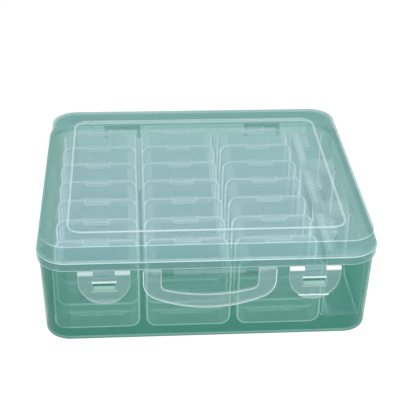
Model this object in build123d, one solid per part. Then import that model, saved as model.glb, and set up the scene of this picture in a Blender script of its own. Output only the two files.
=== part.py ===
from build123d import *
import math
import os

# A hinged carry case that holds small lidded boxes standing in rows.
# Millimetres. X is the width, Y the depth with the latches at -Y, Z is up.
# The origin is the middle of the base's underside.

# Small boxes: a tray that faces forward, with a shallow lid behind it
box_width = 63.4
box_body_height = 60.0
tray_depth = 20.5
box_lid_depth = 7.0
box_wall = 1.2
box_corner = 9.0
corner_flats = 2          # flats that each rounded corner of a small box is made of
face_inset = 2.0          # draft: how far the closed faces stand in from the open edge
face_bevel = 1.2          # bevel round each closed face

# Their hinge, under the body: a bar between two ears, in the lid's hook
hinge_width = 39.0
ear_thickness = 1.6
ear_depth = 4.4
hinge_drop = 3.7          # from the body's lower side to what the box stands on
hinge_bar = 1.8           # across the bar's flats
hinge_bar_height = 2.1    # bar centre above what the box stands on
hinge_play = 0.25
hook_wall = 0.9

# Their snap, on top of the body: the lid's tongue over the tray's ridge
tongue_width = 19.0
tongue_wall = 1.0
tongue_rise = 3.5         # above the body's upper side
tongue_reach = 4.1        # forward of the parting line
tongue_root = 1.9         # behind the parting line
ridge_width = 17.0
ridge_height = 1.6
ridge_depth = 1.5
ridge_play = 0.5

# How the boxes stand in the case
box_columns = 3
box_rows = 7
side_boxes = 3            # turned a quarter, in a column along the right wall
column_gap = 1.3
row_gap = 0.25
side_column_gap = 0.8
side_play = 4.35          # from the stack to the base's side walls, at the floor
end_play = 3.0            # from the stack to its front and back walls
corner_play = 0.6         # from the stack's corners to the base's rounded corners
wall_above_boxes = 1.7    # base's top edge above the box bodies
headroom = 8.7            # from the tongues to the lid's panel

# Base of the case
base_wall = 1.5
base_floor = 1.6
base_flare = 1.95         # how far each wall leans out from bottom to top
foot_bevel = 1.4

# Lid of the case: a rim that laps over the base, and a raised top
lid_wall = 1.5
rim_wall = 1.3
rim_lap = 5.2             # how far the rim reaches down over the base
lid_fit = 0.25            # gap between the rim and the base
rim_bevel = 0.6
dome_inset = 2.7
dome_draft = 0.5
dome_bevel = 0.9
panel_inset = 21.8        # sunk panel, from the rim's outside
panel_sink = 1.0
panel_radius = 10.0

# Round bars that turn in snap hooks
run_play = 0.08           # between a bar and its hook, all round
snap_wall = 1.2
snap_root = 0.7           # how deep hooks, ears and catches are rooted in their wall

# Front latches: a plate on a bar, hung in the lid's hooks
latch_spacing = 146.0
latch_width = 36.0
latch_plate = 2.0
latch_drop = 25.1         # from the bar to the plate's lowest point
latch_side = 14.1         # from the bar to where the sides turn into the round
latch_bar_radius = 1.65
latch_bar_drop = 0.7      # bar centre below the rim's lower edge
latch_gap = 0.3           # from the rim to the bar
lip_height = 3.6
lip_proud = 0.8
latch_hook_width = 14.0
window_play = 0.4
catch_width = 15.5
catch_height = 3.7
catch_nose = 1.1
catch_drop = 14.2         # from the bar to the catch's flat underside
catch_side_play = 0.6
catch_play = 0.3
slot_above_catch = 2.7

# Handle: a D-shaped ring on a thin bar, in hooks on the base
handle_width = 93.0
handle_drop = 30.2        # from the bar to the ring's lowest point
handle_band = 11.8        # ring's height at the middle
handle_arm = 13.0         # width of each side
handle_thickness = 3.0
handle_bevel = 0.7
crown_radius = 92.0       # long curve along the bottom, outside
shoulder_radius = 15.3    # from that curve up into the sides, outside
inner_crown = 117.0
inner_shoulder = 4.7
handle_bar_radius = 1.5
handle_rim_gap = 0.2      # from the bar to the rim above it
handle_gap = 1.4          # from the base's wall to the handle's back
handle_hook_width = 8.0
handle_hook_gap = 0.4     # from each hook to the arm beside it
handle_hook_mouth = 1.0   # top of the open hook, above the bar's centre

# Back hinge: pins between ears on the base, in knuckles on the lid
hinge_spacing = 120.0
knuckle_width = 24.0
knuckle_gap = 0.3
knuckle_seat = 0.6        # how deep each knuckle is sunk in the rim
pin_radius = 1.6
pin_rise = 0.3            # pin centre above the rim's lower edge
case_ear_thickness = 3.0
case_ear_drop = 8.0
knuckle_mouth = 2.4

# Worked-out sizes
box_depth = tray_depth + box_lid_depth
stack_width = (box_columns * box_width + (box_columns - 1) * column_gap
               + side_column_gap + box_depth)
rows_depth = box_rows * box_depth + (box_rows - 1) * row_gap
side_length = side_boxes * box_width + (side_boxes - 1) * column_gap
stack_depth = max(rows_depth, side_length)
floor_x = stack_width / 2 + side_play
floor_y = stack_depth / 2 + end_play
base_x = floor_x + base_wall
base_y = floor_y + base_wall
base_top_x = base_x + base_flare
base_top_y = base_y + base_flare
rim_x = base_top_x + lid_fit + rim_wall
rim_y = base_top_y + lid_fit + rim_wall
body_top = base_floor + hinge_drop + box_body_height
base_height = body_top + wall_above_boxes
rim_bottom = base_height - rim_lap
rim_top = base_height + rim_wall
panel_under = body_top + tongue_rise + headroom
lid_top = panel_under + lid_wall + panel_sink

# The widest round that the base's inner corners can have beside the stack's bevelled
# corners, where the boxes reach their full width and the walls have leaned out so far:
# a point a and b inside two walls stays corner_play clear of a round between them
lean = base_flare * (hinge_drop + box_corner) / (base_height - base_floor)
near_a = side_play + lean + face_inset + face_bevel - corner_play
near_b = end_play + lean - corner_play
far_a = side_play + lean + face_inset - corner_play
far_b = end_play + lean + face_bevel - corner_play
base_inner_radius = corner_play - lean + min(
    near_a + near_b + math.sqrt(2 * near_a * near_b),
    far_a + far_b + math.sqrt(2 * far_a * far_b),
)
base_radius = base_inner_radius + base_wall
rim_radius = base_radius + base_flare + lid_fit + rim_wall
dome_radius = rim_radius - dome_inset

latch_y = -(rim_y + latch_gap + latch_bar_radius)
latch_z = rim_bottom - latch_bar_drop
handle_z = rim_bottom - handle_rim_gap - handle_bar_radius
knuckle_radius = pin_radius + run_play + snap_wall
pin_y = rim_y + knuckle_radius - knuckle_seat
pin_z = rim_bottom + pin_rise
case_ear_eye = pin_y - rim_y - knuckle_gap      # the lid's rim turns past the ears' ends


def wall_y(z):
    """Distance of the base's front or back wall from the middle, outside, at a height."""
    return base_y + base_flare * z / base_height


handle_y = -(wall_y(handle_z) + handle_gap + handle_thickness / 2)


def rounded(half_x, half_y, radius, z):
    """A flat rounded rectangle at a height."""
    return Plane.XY.offset(z) * RectangleRounded(2 * half_x, 2 * half_y, radius)


def slab(half_x, half_y, radius, low, high, flare=0.0):
    """A rounded rectangle between two heights, its sides leaning out by flare."""
    outline = rounded(half_x, half_y, radius, low)
    if not flare:
        return extrude(outline, high - low)
    return extrude(outline, high - low, taper=-math.degrees(math.atan2(flare, high - low)))


def across(points, x, width):
    """A prism along X, centred on x, with its outline given as (y, z) points."""
    outline = Plane.YZ.offset(x - width / 2) * make_face(Polyline(*points, close=True))
    return extrude(outline, width)


def rod(y, z, radius, x, width):
    """A round bar along X, centred on x."""
    return extrude(Plane.YZ.offset(x - width / 2) * Pos(y, z) * Circle(radius), width)


def block(x, width, y_low, y_high, z_low, z_high):
    """A plain block, centred on x."""
    corners = [(y_low, z_low), (y_high, z_low), (y_high, z_high), (y_low, z_high)]
    return across(corners, x, width)


# ---- carry case


def base_shell():
    outer = slab(base_x, base_y, base_radius, 0, base_height, base_flare)
    outer = chamfer(outer.faces().sort_by(Axis.Z)[0].edges(), foot_bevel)
    return outer - slab(floor_x, floor_y, base_inner_radius, base_floor, base_height, base_flare)


def catch(x):
    """A wedge that the latch's slot drops over: flat below, sloping above."""
    low = latch_z - catch_drop
    tip = latch_y - latch_plate / 2
    root = -wall_y(low) + snap_root
    outline = [(root, low), (tip, low), (tip, low + catch_nose), (root, low + catch_height)]
    return across(outline, x, catch_width)


def handle_hook(x):
    """An open hook on the front wall that holds the handle's bar under the rim."""
    reach = handle_bar_radius + run_play + snap_wall
    root = -wall_y(handle_z) + snap_root
    hook = rod(handle_y, handle_z, reach, x, handle_hook_width)
    hook += block(x, handle_hook_width, handle_y, root,
                  handle_z - reach, handle_z + handle_hook_mouth)
    hook -= rod(handle_y, handle_z, handle_bar_radius + run_play, x, handle_hook_width)
    return hook - block(x, handle_hook_width, handle_y - reach, root,
                        handle_z + handle_hook_mouth, handle_z + reach)


def case_ear(x):
    """A gusset on the back wall that carries one end of a hinge pin."""
    root_z = pin_z - case_ear_drop
    top = rim_bottom - knuckle_gap
    root = wall_y(root_z) - snap_root
    steep = case_ear_eye * math.cos(math.radians(22.5))
    flat = case_ear_eye * math.sin(math.radians(22.5))
    return across([(root, root_z), (pin_y - flat, pin_z - steep), (pin_y + flat, pin_z - steep),
                   (pin_y + steep, pin_z - flat), (pin_y + steep, pin_z + flat),
                   (pin_y + flat, pin_z + steep), (pin_y - flat, pin_z + steep),
                   (pin_y - steep, top), (root, top)], x, case_ear_thickness)


def case_base():
    base = base_shell()
    for side in (-1, 1):
        base += catch(side * latch_spacing / 2)
        arm_face = handle_width / 2 - handle_arm
        base += handle_hook(side * (arm_face - handle_hook_gap - handle_hook_width / 2))
        station = side * hinge_spacing / 2
        ear_offset = knuckle_width / 2 + knuckle_gap + case_ear_thickness / 2
        for end in (-1, 1):
            base += case_ear(station + end * ear_offset)
        base += rod(pin_y, pin_z, pin_radius, station, 2 * ear_offset)
    return base


def lid_shell():
    dome_x, dome_y = rim_x - dome_inset, rim_y - dome_inset
    rim = slab(rim_x, rim_y, rim_radius, rim_bottom, rim_top)
    rim = chamfer(rim.faces().sort_by(Axis.Z)[-1].edges(), rim_bevel)
    dome = slab(dome_x, dome_y, dome_radius, rim_bottom, lid_top, -dome_draft)
    dome = chamfer(dome.faces().sort_by(Axis.Z)[-1].edges(), dome_bevel)
    panel_x, panel_y = rim_x - panel_inset, rim_y - panel_inset
    under = lid_top - lid_wall
    hollow = slab(dome_x - lid_wall, dome_y - lid_wall, dome_radius - lid_wall,
                  rim_bottom, under, -dome_draft)
    hollow -= slab(panel_x + lid_wall, panel_y + lid_wall, panel_radius + lid_wall,
                   panel_under, under)
    shell = rim + dome - hollow
    shell -= slab(rim_x - rim_wall, rim_y - rim_wall, rim_radius - rim_wall,
                  rim_bottom, base_height)
    return shell - slab(panel_x, panel_y, panel_radius, lid_top - panel_sink, lid_top)


def latch_hook(x):
    """A hook on the rim, open towards the base, that the latch's bar turns in."""
    reach = latch_bar_radius + run_play + snap_wall
    hook = rod(latch_y, latch_z, reach, x, latch_hook_width)
    hook += block(x, latch_hook_width, latch_y, snap_root - rim_y, rim_bottom, latch_z + reach)
    hook -= rod(latch_y, latch_z, latch_bar_radius + run_play, x, latch_hook_width)
    return hook - block(x, latch_hook_width, latch_y + snap_root, latch_y + reach,
                        latch_z - reach, latch_z)


def knuckle(x):
    """A barrel on the back of the rim, open below, that turns on the base's pin."""
    barrel = rod(pin_y, pin_z, knuckle_radius, x, knuckle_width)
    barrel += block(x, knuckle_width, rim_y - knuckle_seat, pin_y, pin_z, pin_z + knuckle_radius)
    barrel -= rod(pin_y, pin_z, pin_radius + run_play, x, knuckle_width)
    return barrel - block(x, knuckle_width, pin_y - knuckle_mouth / 2, pin_y + knuckle_mouth / 2,
                          pin_z - knuckle_radius, pin_z)


def case_lid():
    lid = lid_shell()
    for side in (-1, 1):
        lid += latch_hook(side * latch_spacing / 2)
        lid += knuckle(side * hinge_spacing / 2)
    return lid


def plate_outline(low, turn, high):
    """The latch seen from the front: straight sides above a round lower end."""
    half = latch_width / 2
    return make_face([Line((half, turn), (half, high)), Line((half, high), (-half, high)),
                      Line((-half, high), (-half, turn)),
                      ThreePointArc((-half, turn), (0, low), (half, turn))])


def latch(x):
    low = latch_z - latch_drop
    front = Plane.XZ.offset(-latch_y) * Pos(x, 0)
    outline = front * plate_outline(low, latch_z - latch_side, latch_z)
    plate = extrude(outline, latch_plate / 2, both=True)
    lip = extrude(outline, latch_plate / 2 + lip_proud)
    lip &= block(x, latch_width, latch_y - latch_plate, latch_y, low, low + lip_height)
    window = latch_bar_radius + run_play + snap_wall + window_play
    plate -= block(x, latch_hook_width + 2 * window_play, latch_y - latch_plate,
                   latch_y + latch_plate, latch_z - window, latch_z)
    under_catch = latch_z - catch_drop - catch_play
    slot_height = catch_play + catch_height + slot_above_catch
    plate -= block(x, catch_width + 2 * catch_side_play, latch_y - latch_plate,
                   latch_y + latch_plate, under_catch, under_catch + slot_height)
    return plate + lip + rod(latch_y, latch_z, latch_bar_radius, x, latch_width)


def ring_outline(half, low, crown, shoulder, high):
    """Half-round outline: a long arc below, two shoulder arcs and straight sides."""
    shoulder_x = half - shoulder
    rise = math.sqrt((crown - shoulder) ** 2 - shoulder_x ** 2)
    shoulder_z = low + crown - rise
    meet_x = shoulder_x * crown / (crown - shoulder)
    meet_z = low + crown - rise * crown / (crown - shoulder)
    turn = (math.pi / 2 + math.atan2(shoulder_x, rise)) / 2
    mid_x = shoulder_x + shoulder * math.sin(turn)
    mid_z = shoulder_z - shoulder * math.cos(turn)
    return make_face([
        Line((-half, high), (-half, shoulder_z)),
        ThreePointArc((-half, shoulder_z), (-mid_x, mid_z), (-meet_x, meet_z)),
        ThreePointArc((-meet_x, meet_z), (0, low), (meet_x, meet_z)),
        ThreePointArc((meet_x, meet_z), (mid_x, mid_z), (half, shoulder_z)),
        Line((half, shoulder_z), (half, high)),
        Line((half, high), (-half, high)),
    ])


def carry_handle():
    half, low = handle_width / 2, handle_z - handle_drop
    top = handle_z + handle_bar_radius
    outer = ring_outline(half, low, crown_radius, shoulder_radius, top)
    inner = ring_outline(half - handle_arm, low + handle_band, inner_crown, inner_shoulder, top)
    ring = Plane.XZ.offset(-handle_y) * (outer - inner)
    ring = extrude(ring, handle_thickness / 2, both=True)
    faces = ring.faces().sort_by(Axis.Y)
    ring = chamfer(faces[0].edges() + faces[-1].edges(), handle_bevel)
    return ring + rod(handle_y, handle_z, handle_bar_radius, 0, handle_width - handle_arm)


# ---- small boxes, drawn with the tray's face at y = 0 and their foot at z = 0


def box_loop(inset, y):
    """Points round the body at one y, each corner turned in short flats."""
    radius = box_corner - inset
    points = []
    for side_x, side_z, start in ((1, 1, 0), (-1, 1, 90), (-1, -1, 180), (1, -1, 270)):
        middle_x = side_x * (box_width / 2 - box_corner)
        middle_z = hinge_drop + box_body_height / 2 + side_z * (box_body_height / 2 - box_corner)
        for step in range(corner_flats + 1):
            angle = math.radians(start + 90 * step / corner_flats)
            points.append((middle_x + radius * math.cos(angle), y,
                           middle_z + radius * math.sin(angle)))
    return points


def faceted(*loops):
    """A solid with flat sides between loops of points, closed at the first and the last."""
    faces = [make_face(Polyline(*loop, close=True)) for loop in (loops[0], loops[-1])]
    for near, far in zip(loops, loops[1:]):
        for step, corner in enumerate(near):
            side = Polyline(near[step - 1], corner, far[step], far[step - 1], close=True)
            faces.append(make_face(side))
    return Solid(Shell(faces))


def dish(open_y, closed_y):
    """A shallow drafted shell, open at one y and closed with a bevelled edge at the other."""
    inward = math.copysign(1, closed_y - open_y)
    body = faceted(box_loop(0, open_y),
                   box_loop(face_inset, closed_y - inward * face_bevel),
                   box_loop(face_inset + face_bevel, closed_y))
    return body - faceted(box_loop(box_wall, open_y),
                          box_loop(face_inset + box_wall, closed_y - inward * box_wall))


def box_tray():
    tray = dish(tray_depth, 0)
    inside = box_wall / 2
    for side in (-1, 1):
        x = side * (hinge_width - ear_thickness) / 2
        near, far = tray_depth - ear_depth / 2, tray_depth + ear_depth / 2
        tray += across([(near, 0), (far, 0), (far, hinge_drop - hinge_play),
                        (tray_depth, hinge_drop - hinge_play),
                        (tray_depth, hinge_drop + inside), (near, hinge_drop + inside)],
                       x, ear_thickness)
    half = hinge_bar / 2
    cut = hinge_bar / (2 + math.sqrt(2))
    bar = [(half, cut - half), (half, half - cut), (half - cut, half), (cut - half, half),
           (-half, half - cut), (-half, cut - half), (cut - half, -half), (half - cut, -half)]
    bar = [(tray_depth + y, hinge_bar_height + z) for y, z in bar]
    tray += across(bar, 0, hinge_width - ear_thickness)
    ridge_y = tray_depth - tongue_reach + tongue_wall + ridge_play
    top = hinge_drop + box_body_height
    return tray + across([(ridge_y, top - inside), (ridge_y, top + ridge_height),
                          (ridge_y + ridge_depth / 2, top + ridge_height),
                          (ridge_y + ridge_depth, top - inside)], 0, ridge_width)


def box_lid():
    lid = dish(tray_depth, box_depth)
    hook_width = hinge_width - 2 * ear_thickness - 2 * hinge_play
    near = tray_depth + hinge_bar / 2 + hinge_play
    far = tray_depth - hinge_bar / 2 - hinge_play
    under = hinge_bar_height - hinge_bar / 2 - hinge_play
    inside = hinge_drop + box_wall / 2
    lid += across([(near, inside), (near, under), (far, under), (far, hinge_bar_height),
                   (far - hook_wall, hinge_bar_height), (far - hook_wall, under - hook_wall),
                   (near + hook_wall, under - hook_wall), (near + hook_wall, inside)],
                  0, hook_width)
    top = hinge_drop + box_body_height
    rise = top + tongue_rise
    front = tray_depth - tongue_reach
    back = tray_depth + tongue_root
    rooted = top - box_wall
    return lid + across([(back, rooted), (back, rise), (front, rise), (front, top + ridge_play),
                         (front + tongue_wall, top + ridge_play),
                         (front + tongue_wall, rise - tongue_wall),
                         (back - tongue_wall, rise - tongue_wall),
                         (back - tongue_wall, rooted)], 0, tongue_width)


def box_places():
    """Where each small box stands: the columns from front to back, then the side column."""
    places = []
    left = -stack_width / 2
    for column in range(box_columns):
        x = left + box_width / 2 + column * (box_width + column_gap)
        for row in range(box_rows):
            y = -rows_depth / 2 + row * (box_depth + row_gap)
            places.append(Location((x, y, base_floor)))
    for row in range(side_boxes):
        y = (row - (side_boxes - 1) / 2) * (box_width + column_gap)
        places.append(Location((stack_width / 2, y, base_floor), (0, 0, 90)))
    return places


def save(name, shape):
    shape.label = name
    export_step(shape, f"parts/{name}.step")


os.makedirs("parts", exist_ok=True)
save("case_base", case_base())
save("case_lid", case_lid())
save("latch_left", latch(-latch_spacing / 2))
save("latch_right", latch(latch_spacing / 2))
save("carry_handle", carry_handle())
tray, box_cover = box_tray(), box_lid()
for number, place in enumerate(box_places(), 1):
    save(f"box_tray_{number:02d}", place * tray)
    save(f"box_lid_{number:02d}", place * box_cover)
print(f"case {2 * rim_x:.2f} x {2 * rim_y:.2f} x {lid_top:.2f} mm")
print(f"rim {rim_bottom:.2f} to {rim_top:.2f}, base corner {base_inner_radius + base_wall:.2f}")
print(f"latch bar y {latch_y:.2f} z {latch_z:.2f}, handle bar y {handle_y:.2f} z {handle_z:.2f}")
print(f"hinge pin y {pin_y:.2f} z {pin_z:.2f}, lid panel underside {panel_under:.2f}")
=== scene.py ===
import bpy
import math
import numpy as np
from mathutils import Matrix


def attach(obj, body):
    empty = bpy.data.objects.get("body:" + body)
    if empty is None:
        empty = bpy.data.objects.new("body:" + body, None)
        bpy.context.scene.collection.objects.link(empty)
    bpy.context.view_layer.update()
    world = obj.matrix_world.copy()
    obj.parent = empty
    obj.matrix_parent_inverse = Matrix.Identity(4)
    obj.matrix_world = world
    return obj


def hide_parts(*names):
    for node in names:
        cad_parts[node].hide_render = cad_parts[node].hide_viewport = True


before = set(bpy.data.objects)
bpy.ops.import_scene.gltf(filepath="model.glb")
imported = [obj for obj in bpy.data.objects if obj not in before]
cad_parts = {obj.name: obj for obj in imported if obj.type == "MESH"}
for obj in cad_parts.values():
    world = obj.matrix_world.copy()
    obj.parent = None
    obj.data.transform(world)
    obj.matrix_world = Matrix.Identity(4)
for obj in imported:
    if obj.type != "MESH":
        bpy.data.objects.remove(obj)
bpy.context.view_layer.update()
mm = 0.001
sharpTurn = 35          # degrees, from which an edge counts as sharp
snap = {"play": 0.08, "wall": 1.2, "root": 0.7}    # of hooks on their bars; how deep fittings sit in a wall


# ---- shapes worked out as whole arrays

def softPath(corners, rounds, steps=4, closed=False):
    # A line through corners, each one turned by a quadratic curve that starts its round before
    # the corner and ends as far after it: (1-s)^2 start + 2s(1-s) corner + s^2 end.
    # Gives the points, and 1 for each stretch that lies on a round, 0 on a straight.
    corners, rounds = np.asarray(corners, float), np.asarray(rounds, float)
    toLast = np.roll(corners, 1, axis=0) - corners
    toNext = np.roll(corners, -1, axis=0) - corners
    last, following = (np.linalg.norm(v, axis=1, keepdims=True) for v in (toLast, toNext))
    reach = np.minimum(rounds[:, None], 0.48 * np.minimum(last, following))
    start = corners + toLast / last * reach
    end = corners + toNext / following * reach
    s = np.linspace(0, 1, steps + 1)[None, :, None]
    curve = (1 - s) ** 2 * start[:, None] + 2 * s * (1 - s) * corners[:, None] + s ** 2 * end[:, None]
    onRound = np.tile(np.r_[np.ones(steps), 0], len(corners))
    points = curve.reshape(-1, corners.shape[1])
    if not closed:                 # the two ends stay where they are
        points = np.vstack([corners[:1], points[steps + 1:-(steps + 1)], corners[-1:]])
        onRound = np.r_[0, onRound[steps + 1:-(steps + 1)]]
    return points, onRound


def roundedLoops(halfX, halfY, radius, height, perCorner):
    # Rounded rectangles, one for each row: a point is its corner's centre plus
    # the radius times (cos, sin) of an angle that runs a quarter turn in each corner.
    turn = np.linspace(0, math.pi / 2, perCorner + 1)
    signX = np.repeat([1, -1, -1, 1], perCorner + 1)
    signY = np.repeat([1, 1, -1, -1], perCorner + 1)
    angle = (turn[None, :] + math.pi / 2 * np.arange(4)[:, None]).ravel()
    halfX, halfY, radius, height = (np.asarray(v, float)[:, None]
                                    for v in (halfX, halfY, radius, height))
    x = signX * (halfX - radius) + radius * np.cos(angle)
    y = signY * (halfY - radius) + radius * np.sin(angle)
    return np.stack([x, y, height + 0 * x], axis=-1)


def bandTurn(perCorner):
    # Where each quad round a rounded rectangle looks: the angle half way between its two points,
    # and 1 for those on a corner's arc, 0 on the straight sides.
    turn = np.linspace(0, math.pi / 2, perCorner + 1)
    angle = (turn[None, :] + math.pi / 2 * np.arange(4)[:, None]).ravel()
    following = np.roll(angle, -1)
    following[-1] += 2 * math.pi
    onArc = np.tile(np.r_[np.ones(perCorner), 0], 4)
    return (angle + following) / 2, onArc


def skin(grid, bandGlow):
    # Faces over a grid of rows by points round: point j of row i is number i * around + j,
    # each quad joins (i, j), (i, j+1), (i+1, j+1), (i+1, j), and a cap is the first or last
    # row's own loop. The glow is given for each band between two rows, or for each quad of each
    # band; the two caps have none.
    rows, around = grid.shape[:2]
    number = np.arange(rows * around).reshape(rows, around)
    nextRound = np.roll(number, -1, axis=1)
    quads = np.stack([number[:-1], nextRound[:-1], nextRound[1:], number[1:]], axis=-1)
    faces = quads.reshape(-1, 4).tolist() + [number[0][::-1].tolist(), number[-1].tolist()]
    bands = np.asarray(bandGlow, float).reshape(rows - 1, -1)
    glow = np.broadcast_to(bands, (rows - 1, around)).ravel().tolist() + [0.0, 0.0]
    return grid.reshape(-1, 3), faces, glow


def prism(outline, low, high, soft=0.25, rounds=0.25, edgeGlow=0.7, flatGlow=0.12):
    # A bar along X: an outline of (y, z) points with softened corners is carried from low to
    # high, and drawn in along each point's own normal by 0.7 of soft at both ends. Milkier plastic
    # and a painted highlight go along its ends and wherever the outline turns by more than sharpTurn;
    # the flat sides' painted glow is one number, or one for each side.
    outline = np.asarray(outline, float)
    loop, onRound = softPath(outline, np.full(len(outline), rounds), 2, True)
    ahead = np.roll(outline, -1, axis=0) - outline
    bearing = np.arctan2(ahead[:, 1], ahead[:, 0])
    turn = np.abs((bearing - np.roll(bearing, 1) + math.pi) % (2 * math.pi) - math.pi)
    sharp = onRound * np.repeat(turn > math.radians(sharpTurn), 3)
    along = np.roll(loop, -1, axis=0) - np.roll(loop, 1, axis=0)
    normal = np.stack([along[:, 1], -along[:, 0]], axis=1)
    normal /= np.maximum(np.linalg.norm(normal, axis=1, keepdims=True), 1e-9)
    area = np.sum(loop[:, 0] * np.roll(loop[:, 1], -1) - np.roll(loop[:, 0], -1) * loop[:, 1])
    inward = loop - normal * np.sign(area) * soft * 0.7
    places = [low, low + soft, high - soft, high]
    shapes = [inward, loop, loop, inward]
    grid = np.stack([np.column_stack([np.full(len(loop), x), s]) for x, s in zip(places, shapes)])
    sides = np.where(sharp > 0, edgeGlow, np.repeat(np.broadcast_to(flatGlow, len(outline)), 3))
    return skin(grid, np.stack([np.full(len(loop), edgeGlow), sides, np.full(len(loop), edgeGlow)]))


def arc(y, z, radius, start, stop, steps=8):
    # Points on a circle about (y, z), from one angle to another in degrees.
    turn = np.radians(np.linspace(start, stop, steps + 1))
    return np.column_stack([y + radius * np.cos(turn), z + radius * np.sin(turn)])


def roundBar(y, z, radius, low, high, steps=20, soft=0.3, glow=0.15):
    # A round bar along X: circles about (y, z), with a smaller one at each end.
    turn = np.linspace(0, 2 * math.pi, steps, endpoint=False)
    places, sizes = [low, low + soft, high - soft, high], [radius - soft, radius, radius, radius - soft]
    grid = np.stack([np.column_stack([np.full(steps, x), y + r * np.cos(turn), z + r * np.sin(turn)])
                     for x, r in zip(places, sizes)])
    return skin(grid, [glow, glow, glow])


def joined(parts):
    # Several skins as one: each part's face numbers move up by the points before it.
    points, faces, glow, before = [], [], [], 0
    for part in parts:
        points.append(part[0])
        faces += [[corner + before for corner in face] for face in part[1]]
        glow += part[2]
        before += len(part[0])
    return np.vstack(points), faces, glow


def placed(part, x, y, z, quarter=0):
    # A quarter turn about Z sends (x, y) to (-y, x); the move comes after it.
    points = part[0].copy()
    if quarter:
        points = np.column_stack([-points[:, 1], points[:, 0], points[:, 2]])
    return points + np.array([x, y, z]), part[1], part[2]


def faceValues(mesh, name, values):
    # One number for each face, for the materials to read; faces past the given ones get none.
    numbers = np.zeros(len(mesh.polygons), np.float32)
    numbers[:len(values)] = values
    mesh.attributes.new(name, "FLOAT", "FACE").data.foreach_set("value", numbers)


def makePiece(name, part, material, body, nodes, shadow=False):
    # Puts the points, faces and the edges' painted glow into a mesh in metres. Scattered light goes on through
    # these thin clear walls, so that what stands inside is lit as evenly as the outside, and
    # only a piece asked to casts a shadow.
    points, faces, glow = part
    mesh = bpy.data.meshes.new(name)
    mesh.from_pydata((points * mm).tolist(), [], faces)
    mesh.validate()
    faceValues(mesh, "edgeGlow", glow)
    mesh.shade_smooth()
    mesh.set_sharp_from_angle(angle=math.radians(sharpTurn))
    mesh.materials.append(material)
    piece = bpy.data.objects.new(name, mesh)
    bpy.context.collection.objects.link(piece)
    piece.visible_diffuse = False
    piece.visible_shadow = shadow
    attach(piece, body)
    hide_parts(*nodes)
    return piece


def facingOut(part):
    # The volume under a skin is the sum of a . (b x c) / 6 over its triangles.
    points, faces, glow = part
    fans = np.array([[f[0], f[i], f[i + 1]] for f in faces for i in range(1, len(f) - 1)])
    a, b, c = (points[fans[:, i]] for i in range(3))
    if np.einsum("ij,ij->i", a, np.cross(b, c)).sum() < 0:
        faces = [f[::-1] for f in faces]
    return points, faces, glow


# ---- finishes: shared effects as node groups, then one material for each plastic

def newGroup(name, inputs, outputs):
    group = bpy.data.node_groups.new(name, "ShaderNodeTree")
    for label, value in inputs.items():
        socket = group.interface.new_socket(label, in_out="INPUT", socket_type="NodeSocketFloat")
        socket.default_value = value
    for label, kind in outputs.items():
        group.interface.new_socket(label, in_out="OUTPUT", socket_type=kind)
    return group, group.nodes.new("NodeGroupInput"), group.nodes.new("NodeGroupOutput")


def mathNode(nodes, links, operation, first, second, third=None, clamp=False):
    node = nodes.new("ShaderNodeMath")
    node.operation, node.use_clamp = operation, clamp
    for socket, value in zip(node.inputs, (first, second, third)):
        if value is None:
            continue
        if isinstance(value, (int, float)):
            socket.default_value = value
        else:
            links.new(value, socket)
    return node.outputs[0]


def mixColour(nodes, links, factor, first, second):
    # A colour between two, each of them fixed or from another node.
    node = nodes.new("ShaderNodeMix")
    node.data_type = "RGBA"
    links.new(factor, node.inputs["Factor"])
    for socket, value in ((node.inputs[6], first), (node.inputs[7], second)):
        if isinstance(value, tuple):
            socket.default_value = (*value, 1)
        else:
            links.new(value, socket)
    return node.outputs[2]


def readValue(nodes, name):
    node = nodes.new("ShaderNodeAttribute")
    node.attribute_name = name
    return node.outputs["Fac"]


def mouldedFlow():
    # Slow flow marks from the mould: stretched noise swings about a mean cover, and tints the milk.
    group, given, out = newGroup("mouldedFlow", {"cover": 0.9, "swing": 0.3, "size": 18.0},
                                 {"cover": "NodeSocketFloat", "shade": "NodeSocketFloat"})
    nodes, links = group.nodes, group.links
    place = nodes.new("ShaderNodeTexCoord")
    stretch = nodes.new("ShaderNodeMapping")
    stretch.inputs["Scale"].default_value = (0.7, 1.0, 1.6)
    clouds = nodes.new("ShaderNodeTexNoise")
    clouds.inputs["Detail"].default_value = 3.0
    clouds.inputs["Roughness"].default_value = 0.55
    clouds.inputs["Distortion"].default_value = 0.4
    links.new(place.outputs["Object"], stretch.inputs["Vector"])
    links.new(stretch.outputs["Vector"], clouds.inputs["Vector"])
    links.new(given.outputs["size"], clouds.inputs["Scale"])
    about = mathNode(nodes, links, "SUBTRACT", clouds.outputs[0], 0.5)
    change = mathNode(nodes, links, "MULTIPLY", about, given.outputs["swing"])
    links.new(mathNode(nodes, links, "ADD", change, given.outputs["cover"], clamp=True), out.inputs["cover"])
    links.new(mathNode(nodes, links, "ADD", change, 0.5, clamp=True), out.inputs["shade"])
    return group


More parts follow.
